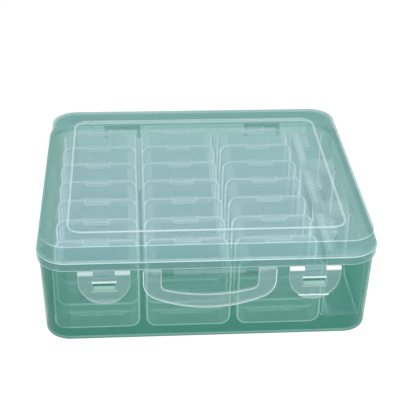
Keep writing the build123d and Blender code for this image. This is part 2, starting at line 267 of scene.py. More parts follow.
def fineWear():
    # Handling marks: sparse hair scratches and a fine satin grain, as roughness and as height.
    group, given, out = newGroup("fineWear", {"roughness": 0.25, "scratches": 0.2, "grainSize": 900.0},
                                 {"roughness": "NodeSocketFloat", "height": "NodeSocketFloat"})
    nodes, links = group.nodes, group.links
    place = nodes.new("ShaderNodeTexCoord")
    turned = nodes.new("ShaderNodeMapping")
    turned.inputs["Rotation"].default_value = (0.3, 0.2, 0.7)
    turned.inputs["Scale"].default_value = (1.0, 26.0, 6.0)
    hairs = nodes.new("ShaderNodeTexNoise")
    hairs.inputs["Scale"].default_value = 45.0
    hairs.inputs["Detail"].default_value = 1.0
    links.new(place.outputs["Object"], turned.inputs["Vector"])
    links.new(turned.outputs["Vector"], hairs.inputs["Vector"])
    sparse = nodes.new("ShaderNodeMapRange")
    sparse.inputs["From Min"].default_value = 0.66
    sparse.inputs["From Max"].default_value = 0.74
    links.new(hairs.outputs[0], sparse.inputs["Value"])
    grain = nodes.new("ShaderNodeTexNoise")
    grain.inputs["Detail"].default_value = 1.0
    links.new(place.outputs["Object"], grain.inputs["Vector"])
    links.new(given.outputs["grainSize"], grain.inputs["Scale"])
    marks = mathNode(nodes, links, "MULTIPLY", sparse.outputs["Result"], given.outputs["scratches"])
    links.new(mathNode(nodes, links, "ADD", given.outputs["roughness"], marks, clamp=True),
              out.inputs["roughness"])
    links.new(mathNode(nodes, links, "MULTIPLY_ADD", grain.outputs[0], 0.3, marks), out.inputs["height"])
    return group


flowGroup, wearGroup = mouldedFlow(), fineWear()


def clearPlastic(name, look):
    # A thin moulded wall: part of the light goes straight through and takes the tint, and the rest
    # meets a milky gloss plastic. The milky part is haze + slant * facing + shadeHaze * paintedWallShade
    # + edge * edgeGlow: it grows aslant, under painted shade and on edges, whose glow is painted highlight.
    material = bpy.data.materials.new(name)
    material.use_nodes = True
    nodes, links = material.node_tree.nodes, material.node_tree.links
    nodes.clear()
    out = nodes.new("ShaderNodeOutputMaterial")
    blend = nodes.new("ShaderNodeMixShader")
    through = nodes.new("ShaderNodeBsdfTransparent")
    body = nodes.new("ShaderNodeBsdfPrincipled")
    body.inputs["IOR"].default_value = 1.49
    body.inputs["Specular IOR Level"].default_value = look["gloss"]
    # Painted glow: edges with edgeGlow give out light of their own at this strength, though they are no lamp.
    body.inputs["Emission Strength"].default_value = look["edgeLight"]
    flow = nodes.new("ShaderNodeGroup")
    flow.node_tree = flowGroup
    for label in ("cover", "swing", "size"):
        flow.inputs[label].default_value = look[label]
    wear = nodes.new("ShaderNodeGroup")
    wear.node_tree = wearGroup
    for label in ("roughness", "scratches"):
        wear.inputs[label].default_value = look[label]
    slant = nodes.new("ShaderNodeLayerWeight")
    slant.inputs["Blend"].default_value = look["slantBlend"]
    amount = mathNode(nodes, links, "MULTIPLY_ADD", slant.outputs["Facing"], look["slant"], look["haze"])
    milk, tint = mixColour(nodes, links, flow.outputs["shade"], look["colour"], look["pale"]), look["tint"]
    if "shadeColour" in look:     # painted shade, and in places a wall seen edge on: darker, greener and hazier faces
        wall = readValue(nodes, "paintedWallShade")
        milk = mixColour(nodes, links, wall, milk, look["shadeColour"])
        tint = mixColour(nodes, links, wall, tint, look["shadeTint"])
        amount = mathNode(nodes, links, "MULTIPLY_ADD", wall, look["shadeHaze"], amount)
    glow = readValue(nodes, "edgeGlow")
    amount = mathNode(nodes, links, "MULTIPLY_ADD", glow, look["edge"], amount, clamp=True)
    edged = mixColour(nodes, links, glow, milk, look["edgeMilkAndGlow"])
    thinned = mixColour(nodes, links, glow, tint, look["edgeTint"])           # painted highlight: a glowing edge lets paler light through
    paintedGlow = mixColour(nodes, links, glow, (0, 0, 0), look["edgeMilkAndGlow"])   # and gives out painted light of its own
    bump = nodes.new("ShaderNodeBump")
    bump.inputs["Strength"].default_value = look["bump"]
    bump.inputs["Distance"].default_value = 0.0002
    links.new(edged, body.inputs["Base Color"])
    links.new(paintedGlow, body.inputs["Emission Color"])
    links.new(thinned, through.inputs["Color"])
    links.new(wear.outputs["height"], bump.inputs["Height"])
    links.new(bump.outputs["Normal"], body.inputs["Normal"])
    links.new(wear.outputs["roughness"], body.inputs["Roughness"])
    links.new(flow.outputs["cover"], body.inputs["Alpha"])
    links.new(amount, blend.inputs["Fac"])
    links.new(through.outputs[0], blend.inputs[1])
    links.new(body.outputs[0], blend.inputs[2])
    links.new(blend.outputs[0], out.inputs["Surface"])
    return material


greenBase = clearPlastic("greenBase", {      # green polypropylene of the base
    "colour": (0.09, 0.42, 0.34), "pale": (0.13, 0.47, 0.40), "tint": (0.66, 0.81, 0.765),
    "edgeMilkAndGlow": (0.55, 0.80, 0.73), "edgeTint": (0.82, 0.94, 0.90), "edge": 0.4, "edgeLight": 0.0,
    "shadeColour": (0.05, 0.30, 0.23), "shadeTint": (0.56, 0.76, 0.70), "shadeHaze": 0.33,
    "haze": 0.10, "slant": 1.0, "slantBlend": 0.13, "cover": 0.92, "swing": 0.2, "size": 14.0,
    "gloss": 0.5, "roughness": 0.22, "scratches": 0.25, "bump": 0.06})
clearLid = clearPlastic("clearLid", {        # natural polypropylene of the lid, a little blue
    "colour": (0.34, 0.52, 0.54), "pale": (0.44, 0.62, 0.66), "tint": (0.90, 0.955, 0.955),
    "edgeMilkAndGlow": (0.85, 0.97, 0.98), "edgeTint": (0.93, 0.98, 0.98), "edge": 0.5, "edgeLight": 0.25,
    "shadeColour": (0.13, 0.42, 0.37), "shadeTint": (0.54, 0.81, 0.75), "shadeHaze": 0.50,
    "haze": 0.06, "slant": 0.7, "slantBlend": 0.1, "cover": 0.88, "swing": 0.4, "size": 16.0,
    "gloss": 0.5, "roughness": 0.18, "scratches": 0.35, "bump": 0.08})
clearBoxes = clearPlastic("clearBoxes", {    # the small boxes, thinner and hazier
    "colour": (0.47, 0.62, 0.66), "pale": (0.55, 0.70, 0.75), "tint": (0.955, 0.98, 0.985),
    "edgeMilkAndGlow": (0.90, 1.0, 1.0), "edgeTint": (0.96, 1.0, 1.0), "edge": 0.75, "edgeLight": 0.22,
    "haze": 0.10, "slant": 0.1, "slantBlend": 0.12, "cover": 0.88, "swing": 0.4, "size": 30.0,
    "gloss": 0.5, "roughness": 0.25, "scratches": 0.2, "bump": 0.08})
clearFittings = clearPlastic("clearFittings", {   # latches and handle
    "colour": (0.42, 0.60, 0.62), "pale": (0.52, 0.70, 0.74), "tint": (0.94, 0.975, 0.975),
    "edgeMilkAndGlow": (0.85, 0.97, 0.98), "edgeTint": (0.93, 0.98, 0.98), "edge": 0.8, "edgeLight": 0.1,
    "haze": 0.18, "slant": 0.15, "slantBlend": 0.3, "cover": 0.9, "swing": 0.4, "size": 24.0,
    "gloss": 0.5, "roughness": 0.18, "scratches": 0.3, "bump": 0.08})
print("finishes made")


# ---- base of the case

base = {"halfX": 116.4, "halfY": 101.5, "radius": 18.21, "flare": 1.95, "flareHeight": 67.0,
        "height": 66.95, "wall": 1.5, "floor": 1.6, "footRound": 2.0, "innerRound": 1.6,
        "topRound": 0.5, "cornerSteps": 14, "floorShade": 1.0, "footShade": 2.0, "cornerShade": 0.4}
rim = {"halfX": 119.9, "halfY": 105.0, "radius": 21.71, "low": 61.8, "high": 68.3, "wall": 1.3}


def wallY(z):
    # The front or back wall's distance from the middle grows evenly with height.
    return base["halfY"] + base["flare"] * z / base["flareHeight"]


def baseShell():
    # Rounded rectangles follow the wall's outline from under the floor, up the outside,
    # over the top edge and down the inside to the floor. Columns: inset, height, round.
    flare, wall, top, floor = base["flare"], base["wall"], base["height"], base["floor"]
    corners = np.array([(9.0, 0, 0), (0, 0, base["footRound"]), (-flare, top, base["topRound"]),
                        (wall - flare, top, base["topRound"]), (wall, floor, base["innerRound"]),
                        (10.0, floor, 0)])
    rows, onRound = softPath(corners[:, :2], corners[:, 2], 5)
    inset, height = rows.T
    grid = roundedLoops(base["halfX"] - inset, base["halfY"] - inset, np.maximum(base["radius"] - inset, 2),
                        height, base["cornerSteps"])
    glow = onRound * (height[:-1] > top / 2)                      # only the top edge shines
    onFloor = np.maximum(height[:-1], height[1:]) < base["footRound"] + 0.01     # floor and foot
    outside = np.arange(len(onFloor)) < len(onFloor) / 2
    _, onArc = bandTurn(base["cornerSteps"])
    paintedShadeMask = onFloor * (base["floorShade"] + base["footShade"] * onRound * outside)  # painted shade on floor and foot; the foot is also seen edge on
    # painted shade on the rounded corners, which are also seen aslant
    paintedShadeMask = np.maximum(paintedShadeMask[:, None], base["cornerShade"] * onArc[None, :])
    return facingOut(skin(grid, glow)), np.r_[paintedShadeMask.ravel(), 1, 1]


latch = {"spacing": 146.0, "width": 36.0, "thick": 2.0, "bevel": 0.35, "barY": -106.95, "barZ": 61.1,
         "bar": 1.65, "drop": 25.1, "side": 8.0, "hookWidth": 14.0, "hookPlay": 0.4, "hookRoot": -103.7,
         "notchDrop": 3.33, "slotBeside": 0.6, "slotBelow": 0.3, "slotAbove": 2.7,
         "lip": 3.6, "lipProud": 0.8, "lipHalf": 0.75, "lipBevel": 0.3,
         # The glow numbers paint highlights on the plate's outline, slot, notch, lip, bars and hooks.
         "outlineGlow": 0.35, "lipOutline": 0.175, "slotGlow": 1.0, "notchGlow": 0.1, "axleGlow": 0.05,
         "hookGlow": 0.2, "hookFaces": 0.03}
latchLooks = {"latch_left": {"side": -1, "barGlow": 0.5, "lipGlow": 0.1},     # painted highlight: the right one's bars and lip
              "latch_right": {"side": 1, "barGlow": 1.1, "lipGlow": 0.9}}     # are painted brighter than the left one's
# The catch's edgeGlow and faces paint highlights on the wedge, brightest on its slope by the nose and on the
# nose.
catch = {"width": 15.5, "low": 46.9, "height": 3.7, "nose": 1.1, "shoulder": 0.45,
         "edgeGlow": 0.6, "faces": (0, 0.1, 1.0, 1.0, 0.6)}
handle = {"width": 93.0, "drop": 30.2, "band": 11.8, "arm": 13.0, "thick": 3.0, "bevel": 0.8,
          "crown": 92.0, "shoulder": 15.3, "innerCrown": 117.0, "innerShoulder": 4.7,
          "barY": -106.15, "barZ": 60.1, "bar": 1.5, "hookWidth": 8.0, "hookAt": 29.1, "hookGlow": 0.3,
          "outerGlow": 0.5, "innerGlow": 0.5, "backGlow": 0.1, "endGlow": 0.3}
backHinge = {"spacing": 120.0, "knuckle": 24.0, "gap": 0.3, "ear": 3.0, "eye": 1.98, "earTop": 61.5,
             "earDrop": 8.0, "pin": 1.6, "pinEnd": 1.5, "pinY": 107.28, "pinZ": 62.1, "barrel": 2.88,
             "glow": 0.4}


def baseFittings():
    # Wedges for the latches, open hooks for the handle, and ears with pins for the lid.
    parts = []
    root, tip = -wallY(catch["low"]) + snap["root"], latch["barY"] - latch["thick"] / 2
    low, nose, high = catch["low"], catch["low"] + catch["nose"], catch["low"] + catch["height"]
    share = catch["shoulder"]                            # of the way back from the nose to the top
    wedge = [(root, low), (root, high), (tip + share * (root - tip), nose + share * (high - nose)),
             (tip, nose), (tip, low)]
    y, z, bore = handle["barY"], handle["barZ"], handle["bar"] + snap["play"]
    reach, root = bore + snap["wall"], -wallY(z) + snap["root"]
    hook = np.vstack([arc(y, z, bore, 39.3, -219.3, 14), arc(y, z, reach, 158.9, 270, 8),
                      [(root, z - reach), (root, z + 1.0)]])
    h = backHinge
    low = h["pinZ"] - h["earDrop"]
    foot = wallY(low) - snap["root"]
    ear = np.vstack([[(foot, h["earTop"]), (foot, low)], arc(h["pinY"], h["pinZ"], h["eye"], -60, 110, 10)])
    for side in (-1, 1):
        x, half = side * latch["spacing"] / 2, catch["width"] / 2
        parts.append(prism(wedge, x - half, x + half, edgeGlow=catch["edgeGlow"], flatGlow=catch["faces"]))
        x, half = side * handle["hookAt"], handle["hookWidth"] / 2
        parts.append(prism(hook, x - half, x + half, rounds=0.1, edgeGlow=handle["hookGlow"]))
        x, half = side * h["spacing"] / 2, h["knuckle"] / 2 + h["gap"]
        for end in (-1, 1):
            near, far = sorted((x + end * half, x + end * (half + h["ear"])))
            parts.append(prism(ear, near, far, rounds=0.1, edgeGlow=h["glow"], flatGlow=h["glow"]))
        half += h["pinEnd"]
        parts.append(roundBar(h["pinY"], h["pinZ"], h["pin"], x - half, x + half, glow=h["glow"]))
    return [facingOut(part) for part in parts]


shell, paintedShadeMask = baseShell()
piece = makePiece("green_base", joined([shell] + baseFittings()), greenBase, "case_base",
                  ["case_base"], shadow=True)
faceValues(piece.data, "paintedWallShade", paintedShadeMask)
print("base made")


# ---- lid of the case

lid = {"top": 80.0, "domeInset": 2.7, "domeDraft": 0.5, "wall": 1.5, "ledge": 67.0, "panelInset": 21.8,
       "panelSink": 1.0, "panelRadius": 10.0, "domeRound": 0.6, "rimRound": 0.5, "cornerSteps": 14,
       "panelBand": 0.8, "panelWide": 1.9,          # the step's bright line: from the front, and aslant
       # From quiet to rimFace: glow of the painted highlight lines on the lid's edges, panel step and rim.
       "quiet": 0.05, "edgeGlow": 0.95, "domeEdge": 0.65, "domeFoot": 0.25, "panelGlow": 0.65,
       "rimTop": 1.0, "rimFoot": 1.1, "rimInner": 0.3, "inside": 0.1, "rimFace": 0.07,
       "paintedWallShade": (0.3, 0.45, 1.15), "paintedRimShade": (0.1, 0.85, 0.0)}     # at the front, sides and back


def lidShell():
    # Rounded rectangles follow the outline from the sunk panel, over the border, down the raised
    # wall and the rim, and back inside to the panel's underside.
    top, dome, draft, wall = lid["top"], lid["domeInset"], lid["domeDraft"], lid["wall"]
    panel, low, ledge = lid["panelInset"], lid["top"] - lid["panelSink"], lid["ledge"]
    band, wide, turn = lid["panelBand"], lid["panelWide"], lid["panelRadius"]
    radius, lap, inside = rim["radius"], rim["wall"], lid["inside"]
    slope = dome + draft
    table = np.array([                               # inset, height, radius, round, glow of the edge
        (panel + 4, low, 6, 0, 0), (panel + wide, low, turn - wide, 0.05, 0),
        (panel + band, low, turn - band, 0.05, 0), (panel, low, turn, 0.45, 0),
        (panel, top, turn, 0.5, 0), (panel - band, top, turn + band, 0.05, 0),
        (panel - wide, top, turn + wide, 0.05, 0),
        (slope, top, radius - slope, lid["domeRound"], lid["domeEdge"]),
        (dome, rim["high"], radius - dome, 0.5, lid["domeFoot"]),
        (0, rim["high"], radius, lid["rimRound"], lid["rimTop"]),
        (0, rim["low"], radius, 0.45, lid["rimFoot"]),
        (lap, rim["low"], radius - lap, 0.35, lid["rimInner"]), (lap, ledge, radius - lap, 0.2, inside),
        (dome + wall, ledge, radius - dome - wall, 0.3, inside),
        (slope + wall, top - wall, radius - slope - wall, 1.0, inside),
        (panel - wall, top - wall, turn + wall, 0.5, 0), (panel - wall, low - wall, turn + wall, 0.4, 0),
        (panel + 4, low - wall, 6, 0, 0)])
    rows, onRound = softPath(table[:, :3], table[:, 3], 4)
    edges = onRound * np.r_[0, np.repeat(table[1:-1, 4], 5)]
    inset, height, turns = rows.T
    grid = roundedLoops(rim["halfX"] - inset, rim["halfY"] - inset, turns, height, lid["cornerSteps"])
    inset, height = ((v[:-1] + v[1:]) / 2 for v in (inset, height))          # of each band's middle
    fromStep = np.abs(inset - panel)
    ofPanel = inset > panel - wall - 1
    inStep = (fromStep < wide) & (height > low - 0.2)
    inRing = inStep & (fromStep > band)              # shows only where the step is seen aslant
    looks, _ = bandTurn(lid["cornerSteps"])
    # Painted highlight: edges are painted brighter the more they face the front, as if lit from there, down to
    # quiet.
    toFront = lid["quiet"] + (1 - lid["quiet"]) * np.clip(-np.sin(looks), 0, 1)
    bright = np.where(ofPanel, lid["panelGlow"] * inStep, edges)
    bright = np.where((inset < 0.05) & (onRound < 0.5), lid["rimFace"], bright)
    ofStep = np.where(inRing[:, None], np.sin(looks)[None, :] ** 2, 1.0)
    glow = bright[:, None] * np.where(ofPanel[:, None], ofStep, lid["edgeGlow"] * toFront[None, :])
    # Painted green shade on the outside of the raised wall and rim: darker, greener and hazier, by amounts for
    # front, sides and back.
    outer = (inset < slope + wall + 0.5) & (height < top - 0.1)
    onRim = (height < rim["high"] + 0.5)[:, None]
    onWall, onLap = (np.interp(np.sin(looks), [-1, 0, 1], lid[key])[None, :] for key in ("paintedWallShade", "paintedRimShade"))
    paintedShadeMask = outer[:, None] * np.where(onRim, onLap, onWall)
    return facingOut(skin(grid, glow)), paintedShadeMask.ravel()


def lidFittings():
    # Hooks in front that hold the latches' bars, and barrels at the back that turn on the pins.
    parts = []
    y, z, bore, root = latch["barY"], latch["barZ"], latch["bar"] + snap["play"], latch["hookRoot"]
    reach = bore + snap["wall"]
    hook = np.vstack([[(y + reach, z), (y + reach, rim["low"]), (root, rim["low"]), (root, z + reach)],
                      arc(y, z, reach, 90, 294, 14), arc(y, z, bore, 294, 0, 14)])
    h = backHinge
    y, z, barrel, bore = h["pinY"], h["pinZ"], h["barrel"], h["pin"] + snap["play"]
    knuckle = np.vstack([arc(y, z, bore, -44.4, 224.4, 14), arc(y, z, barrel, 245.4, 180, 5),
                         [(y - barrel, z + barrel)], arc(y, z, barrel, 90, -65.4, 10)])
    for side in (-1, 1):
        x, half = side * latch["spacing"] / 2, latch["hookWidth"] / 2
        parts.append(prism(hook, x - half, x + half, rounds=0.1, edgeGlow=latch["hookGlow"],
                           flatGlow=latch["hookFaces"]))
        x, half = side * h["spacing"] / 2, h["knuckle"] / 2
        parts.append(prism(knuckle, x - half, x + half, rounds=0.1, edgeGlow=h["glow"], flatGlow=h["glow"]))
    return [facingOut(part) for part in parts]


shell, paintedShadeMask = lidShell()
piece = makePiece("clear_lid", joined([shell] + lidFittings()), clearLid, "case_lid",
                  ["case_lid"])
faceValues(piece.data, "paintedWallShade", paintedShadeMask)
print("lid made")


# ---- latches: flat plates with a notch for the lid's hook and a slot for the base's catch

def flatPlate(outlines, half, bevel):
    # A filled flat curve gives the plate: its outline is drawn in by the bevel, which then rounds
    # it out again between the two faces. The faces lie in (x, z), and the thickness runs along y.
    flat = bpy.data.curves.new("plateOutline", "CURVE")
    flat.dimensions, flat.fill_mode = "2D", "BOTH"
    flat.extrude, flat.bevel_depth, flat.bevel_resolution, flat.offset = half - bevel, bevel, 2, -bevel
    for outline in outlines:
        line = flat.splines.new("POLY")
        line.points.add(len(outline) - 1)
        flatly = np.column_stack([outline, np.zeros(len(outline)), np.ones(len(outline))])
        line.points.foreach_set("co", flatly.ravel())
        line.use_cyclic_u = True
    holder = bpy.data.objects.new("plateOutline", flat)
    bpy.context.collection.objects.link(holder)
    bpy.context.view_layer.update()
    mesh = bpy.data.meshes.new_from_object(holder.evaluated_get(bpy.context.evaluated_depsgraph_get()))
    points = np.zeros(len(mesh.vertices) * 3)
    mesh.vertices.foreach_get("co", points)
    points = points.reshape(-1, 3)
    faces = [list(face.vertices) for face in mesh.polygons]
    glow = [0.0 if np.ptp(points[face, 2]) < 1e-6 else 1.0 for face in faces]
    bpy.data.objects.remove(holder)
    bpy.data.meshes.remove(mesh)
    bpy.data.curves.remove(flat)
    keys, index = np.unique(np.round(points, 5), axis=0, return_inverse=True)   # the faces' shared points
    index = index.ravel()
    faces = [[int(index[corner]) for corner in face] for face in faces]
    return keys[:, [0, 2, 1]] * np.array([1, -1, 1]), faces, glow


def edgesShine(plate, shine):
    # The bevels of a plate take the given glow, and its two flat faces keep none.
    return plate[0], plate[1], (np.array(plate[2]) * shine).tolist()


def faceMiddles(plate):
    return np.array([plate[0][face].mean(axis=0) for face in plate[1]])


def latchPlate(x, barGlow, lipGlow):
    # The round end is an arc through both sides at turn and the middle at low: with a rise of
    # sag over half the width, its radius is (half^2 + sag^2) / (2 sag).
    half, low, top = latch["width"] / 2, latch["barZ"] - latch["drop"], latch["barZ"]
    sag = top - latch["side"] - low
    radius = (half ** 2 + sag ** 2) / (2 * sag)
    reach = math.degrees(math.asin(half / radius))
    under = arc(0, low + radius, radius, 270 - reach, 270 + reach, 28)
    window, deep = latch["hookWidth"] / 2 + latch["hookPlay"], top - latch["notchDrop"]
    outline = np.vstack([under, [(half, top), (window, top), (window, deep),
                                 (-window, deep), (-window, top), (-half, top)]])
    slotHalf, slotLow = catch["width"] / 2 + latch["slotBeside"], catch["low"] - latch["slotBelow"]
    slotHigh = catch["low"] + catch["height"] + latch["slotAbove"]
    slot = np.array([(-slotHalf, slotLow), (-slotHalf, slotHigh), (slotHalf, slotHigh), (slotHalf, slotLow)])
    plate = flatPlate([outline, slot], latch["thick"] / 2, latch["bevel"])
    across, _, height = faceMiddles(plate).T
    onSlot = (np.abs(across) < slotHalf + 0.4) & (np.abs(height - slotHigh) < 0.5)
    inNotch = (np.abs(across) < window + 0.4) & (height > deep - 0.5)
    plate = edgesShine(plate, np.where(onSlot, latch["slotGlow"],
                                       np.where(inNotch, latch["notchGlow"], latch["outlineGlow"])))
    lipTop = low + latch["lip"]                          # the lip fills the arc up to a straight line
    chord = math.sqrt(radius ** 2 - (low + radius - lipTop) ** 2)
    reach = math.degrees(math.asin(chord / radius))
    lip = flatPlate([arc(0, low + radius, radius, 270 - reach, 270 + reach, 20)], latch["lipHalf"],
                    latch["lipBevel"])
    onTop = np.abs(faceMiddles(lip)[:, 2] - lipTop) < 0.4
    lip = edgesShine(lip, np.where(onTop, lipGlow, latch["lipOutline"]))
    lip = placed(lip, 0, -(latch["thick"] / 2 + latch["lipProud"] - latch["lipHalf"]), 0)
    parts = [placed(facingOut(p), x, latch["barY"], 0) for p in (plate, lip)]
    for near, far, glow in ((-half, -window, barGlow), (window, half, barGlow),
                            (-window - 0.4, window + 0.4, latch["axleGlow"])):
        points, faces, _ = facingOut(roundBar(0, 0, latch["bar"], near, far))
        parts.append(placed((points, faces, [glow] * len(faces)), x, latch["barY"], top))
    return joined(parts)


for name, look in latchLooks.items():
    plate = latchPlate(look["side"] * latch["spacing"] / 2, look["barGlow"], look["lipGlow"])
    makePiece("clear_" + name, plate, clearFittings, name, [name])
print("latches made")


# ---- handle

def ringCurve(half, low, crown, shoulder, high):
    # One edge of the ring: a straight side, a shoulder arc, the long arc below, then the same back.
    shoulderX = half - shoulder
    rise = math.sqrt((crown - shoulder) ** 2 - shoulderX ** 2)
    shoulderZ, crownZ = low + crown - rise, low + crown
    lean = math.degrees(math.atan2(shoulderX, rise))
    right = arc(shoulderX, shoulderZ, shoulder, 0, -90 + lean, 12)
    below = arc(0, crownZ, crown, -90 + lean, -90 - lean, 30)
    left = right[::-1] * np.array([-1, 1])
    side = np.linspace(high, shoulderZ, 5)[:-1]
    return np.vstack([np.column_stack([np.full(4, half), side]), right, below[1:-1], left,
                      np.column_stack([np.full(4, -half), side[::-1]])])


def handleRing():
    # The band's section is a bevelled rectangle carried along the ring: each of its points sits
    # a way in from the outer edge or the inner edge, on the line that joins the two.
    half, low, top = handle["width"] / 2, handle["barZ"] - handle["drop"], handle["barZ"] + handle["bar"]
    outer = ringCurve(half, low, handle["crown"], handle["shoulder"], top)
    inner = ringCurve(half - handle["arm"], low + handle["band"], handle["innerCrown"],
                      handle["innerShoulder"], top)
    across = inner - outer
    width = np.linalg.norm(across, axis=1)
    across /= width[:, None]
    thick, bevel = handle["thick"] / 2, handle["bevel"]
    section, onRound = softPath([(-1, -thick), (1, -thick), (1, thick), (-1, thick)], [bevel] * 4, 4, True)
    far = section[:, 0] > 0                              # this end follows the inner edge
    inset = np.where(far, 1 - section[:, 0], section[:, 0] + 1)
    way = np.where(far[None, :], width[:, None] - inset[None, :], inset[None, :])
    flat = outer[:, None, :] + across[:, None, :] * way[:, :, None]
    y = np.broadcast_to(section[:, 1] + handle["barY"], way.shape)
    grid = np.stack([flat[:, :, 0], y, flat[:, :, 1]], axis=-1)
    points, faces, _ = skin(grid, np.zeros(len(grid) - 1))
    following = np.roll(section, -1, axis=0)
    outerFace = (section[:, 0] < -0.9) & (following[:, 0] < -0.9)      # the long strip outside
    inFront = section[:, 1] + following[:, 1] < 0
    # Painted highlight: the rounds in front are painted bright, those at the back hardly at all.
    rounds = np.where(inFront, np.where(far, handle["innerGlow"], 1.0), handle["backGlow"])
    shine = np.where(outerFace, handle["outerGlow"], onRound * rounds)
    return points, faces, np.tile(shine, len(grid) - 1).tolist() + [handle["endGlow"]] * 2


half = (handle["width"] - handle["arm"]) / 2
rod = roundBar(handle["barY"], handle["barZ"], handle["bar"], -half, half, glow=0.0)
makePiece("clear_handle", joined([facingOut(handleRing()), facingOut(rod)]), clearFittings,
          "carry_handle", ["carry_handle"])
print("handle made")


# ---- small boxes, each a tray that faces forward and a shallow lid behind it

# From trayGlow to frontLow: glow of painted highlight lines and faces on the small boxes.
smallBox = {"width": 63.4, "height": 60.0, "tray": 20.5, "lid": 7.0, "wall": 1.2, "corner": 9.0,
            "inset": 1.5, "bevel": 1.3, "drop": 3.7, "rim": 0.5, "rimDeep": 1.5, "cornerSteps": 6,
            "trayGlow": 0.0, "lidGlow": 0.08, "topGlow": 0.36, "cornerGlow": 0.2, "rimGlow": 0.12,
            "innerEdge": 0.15, "faceLine": 1.2, "trayFace": 0.15, "lidFace": 0.03, "upperEdge": 0.38,
            "frontFace": 0.36, "frontLow": 0.8}       # the first row is painted brighter, to show through the front wall
# The glow numbers of tongue and boxHinge paint highlights on their edges and faces.
tongue = {"width": 19.0, "wall": 1.0, "rise": 3.5, "reach": 4.1, "root": 1.9, "seat": 1.2, "tip": 0.5,
          "soft": 0.9, "edgeGlow": 0.4, "faces": 0.1}
ridge = {"half": 8.5, "depth": 1.5, "gap": 0.5, "rise": 1.6}
boxHinge = {"width": 39.0, "ear": 1.6, "earDepth": 4.4, "bar": 0.9, "barHigh": 2.1, "barShort": 0.8,
            "play": 0.25, "hook": 0.9, "root": 0.6, "hookGlow": 0.6, "hookFaces": (0, 0.9, 0.5, 0, 0, 0, 0, 0)}
stack = {"columns": 3, "rows": 7, "sideBoxes": 3, "columnGap": 1.3, "rowGap": 0.25, "sideGap": 0.8,
         "foot": 1.6}


def dish(depth, outward, wallGlow, topGlow, faceGlow, lowGlow=0.0):
    # Rounded rectangles from the closed face, out over its soft edge, up the drafted wall to a
    # rim that stands a little proud, and back down the inside. Drawn with the face at y = 0.
    # Columns: inset, distance from the face, round.
    b = smallBox
    wall, ring, lip = b["wall"], b["inset"] + b["bevel"], depth - b["rimDeep"]
    corners = np.array([(9.5, 0, 0), (ring, 0, 0.02), (b["inset"], 0, b["bevel"]), (b["rim"], lip - 0.4, 0.25),
                        (0, lip, 0.25), (0, depth - 0.05, 0.25), (wall, depth - 0.05, 0.25),
                        (b["inset"] + wall, wall, b["bevel"]), (9.5, wall, 0)])
    rows, onRound = softPath(corners[:, :2], corners[:, 2], 3)
    inset, away = rows.T
    loops = roundedLoops(b["width"] / 2 - inset, b["height"] / 2 - inset, np.maximum(b["corner"] - inset, 1.0),
                         away, b["cornerSteps"])
    grid = np.stack([loops[..., 0], loops[..., 2] * outward, loops[..., 1] + b["drop"] + b["height"] / 2],
                    axis=-1)
    inside = (inset + away)[:-1] > b["inset"] + wall + 0.3
    onRim = np.minimum(away[:-1], away[1:]) > lip - 0.2
    inLine = (np.maximum(inset[:-1], inset[1:]) < ring) & (np.maximum(away[:-1], away[1:]) < 0.01)
    glow = onRound * np.where(inside, b["innerEdge"], 1.0)
    glow = np.where(onRim, b["rimGlow"], glow)
    glow[0] = faceGlow
    glow[inLine] = b["faceLine"]                         # a painted highlight line round the closed face
    looks, onArc = bandTurn(b["cornerSteps"])
    up, down = (np.clip(sign * np.sin(looks), 0, 1) for sign in (1, -1))
    onSide = np.abs(np.diff(away)) > 2.0
    sideGlow = np.maximum((up > 0.95) * topGlow, wallGlow + (b["cornerGlow"] - wallGlow) * onArc)
    glow = glow[:, None] * (1 - (1 - b["upperEdge"]) * up)[None, :]         # the upper edges shine less
    glow = np.maximum(glow, onSide[:, None] * sideGlow[None, :])
    glow = np.maximum(glow, onRim[:, None] * (lowGlow * down)[None, :])
    points, faces, glow = skin(grid, glow)
    glow[-2] = faceGlow                                  # the closed face's middle
    return facingOut((points, faces, glow))


def trayParts(faceGlow, lowGlow):
    # The dish, two ears with a bar between them below it, and a ridge for the tongue on top.
    b, h, r = smallBox, boxHinge, ridge
    y, foot, top = b["tray"], b["drop"], b["drop"] + b["height"]
    near, far, high, root = y - h["earDepth"] / 2, y + h["earDepth"] / 2, foot - h["play"], foot + h["root"]
    ear = [(near, 0.02), (far, 0.02), (far, high), (y, high), (y, root), (near, root)]
    parts = [dish(y, 1, b["trayGlow"], 0.0, faceGlow, lowGlow)]
    for side in (-1, 1):
        x = side * (h["width"] - h["ear"]) / 2
        parts.append(facingOut(prism(ear, x - h["ear"] / 2, x + h["ear"] / 2)))
    half = h["width"] / 2 - h["barShort"]
    parts.append(facingOut(roundBar(y, h["barHigh"], h["bar"], -half, half, 10, 0.2, 0.0)))
    at = y - tongue["reach"] + tongue["wall"] + r["gap"]
    wedge = [(at, top - 0.6), (at, top + r["rise"]), (at + r["depth"] / 2, top + r["rise"]),
             (at + r["depth"], top - 0.6)]
    parts.append(facingOut(prism(wedge, -r["half"], r["half"])))
    return joined(parts)


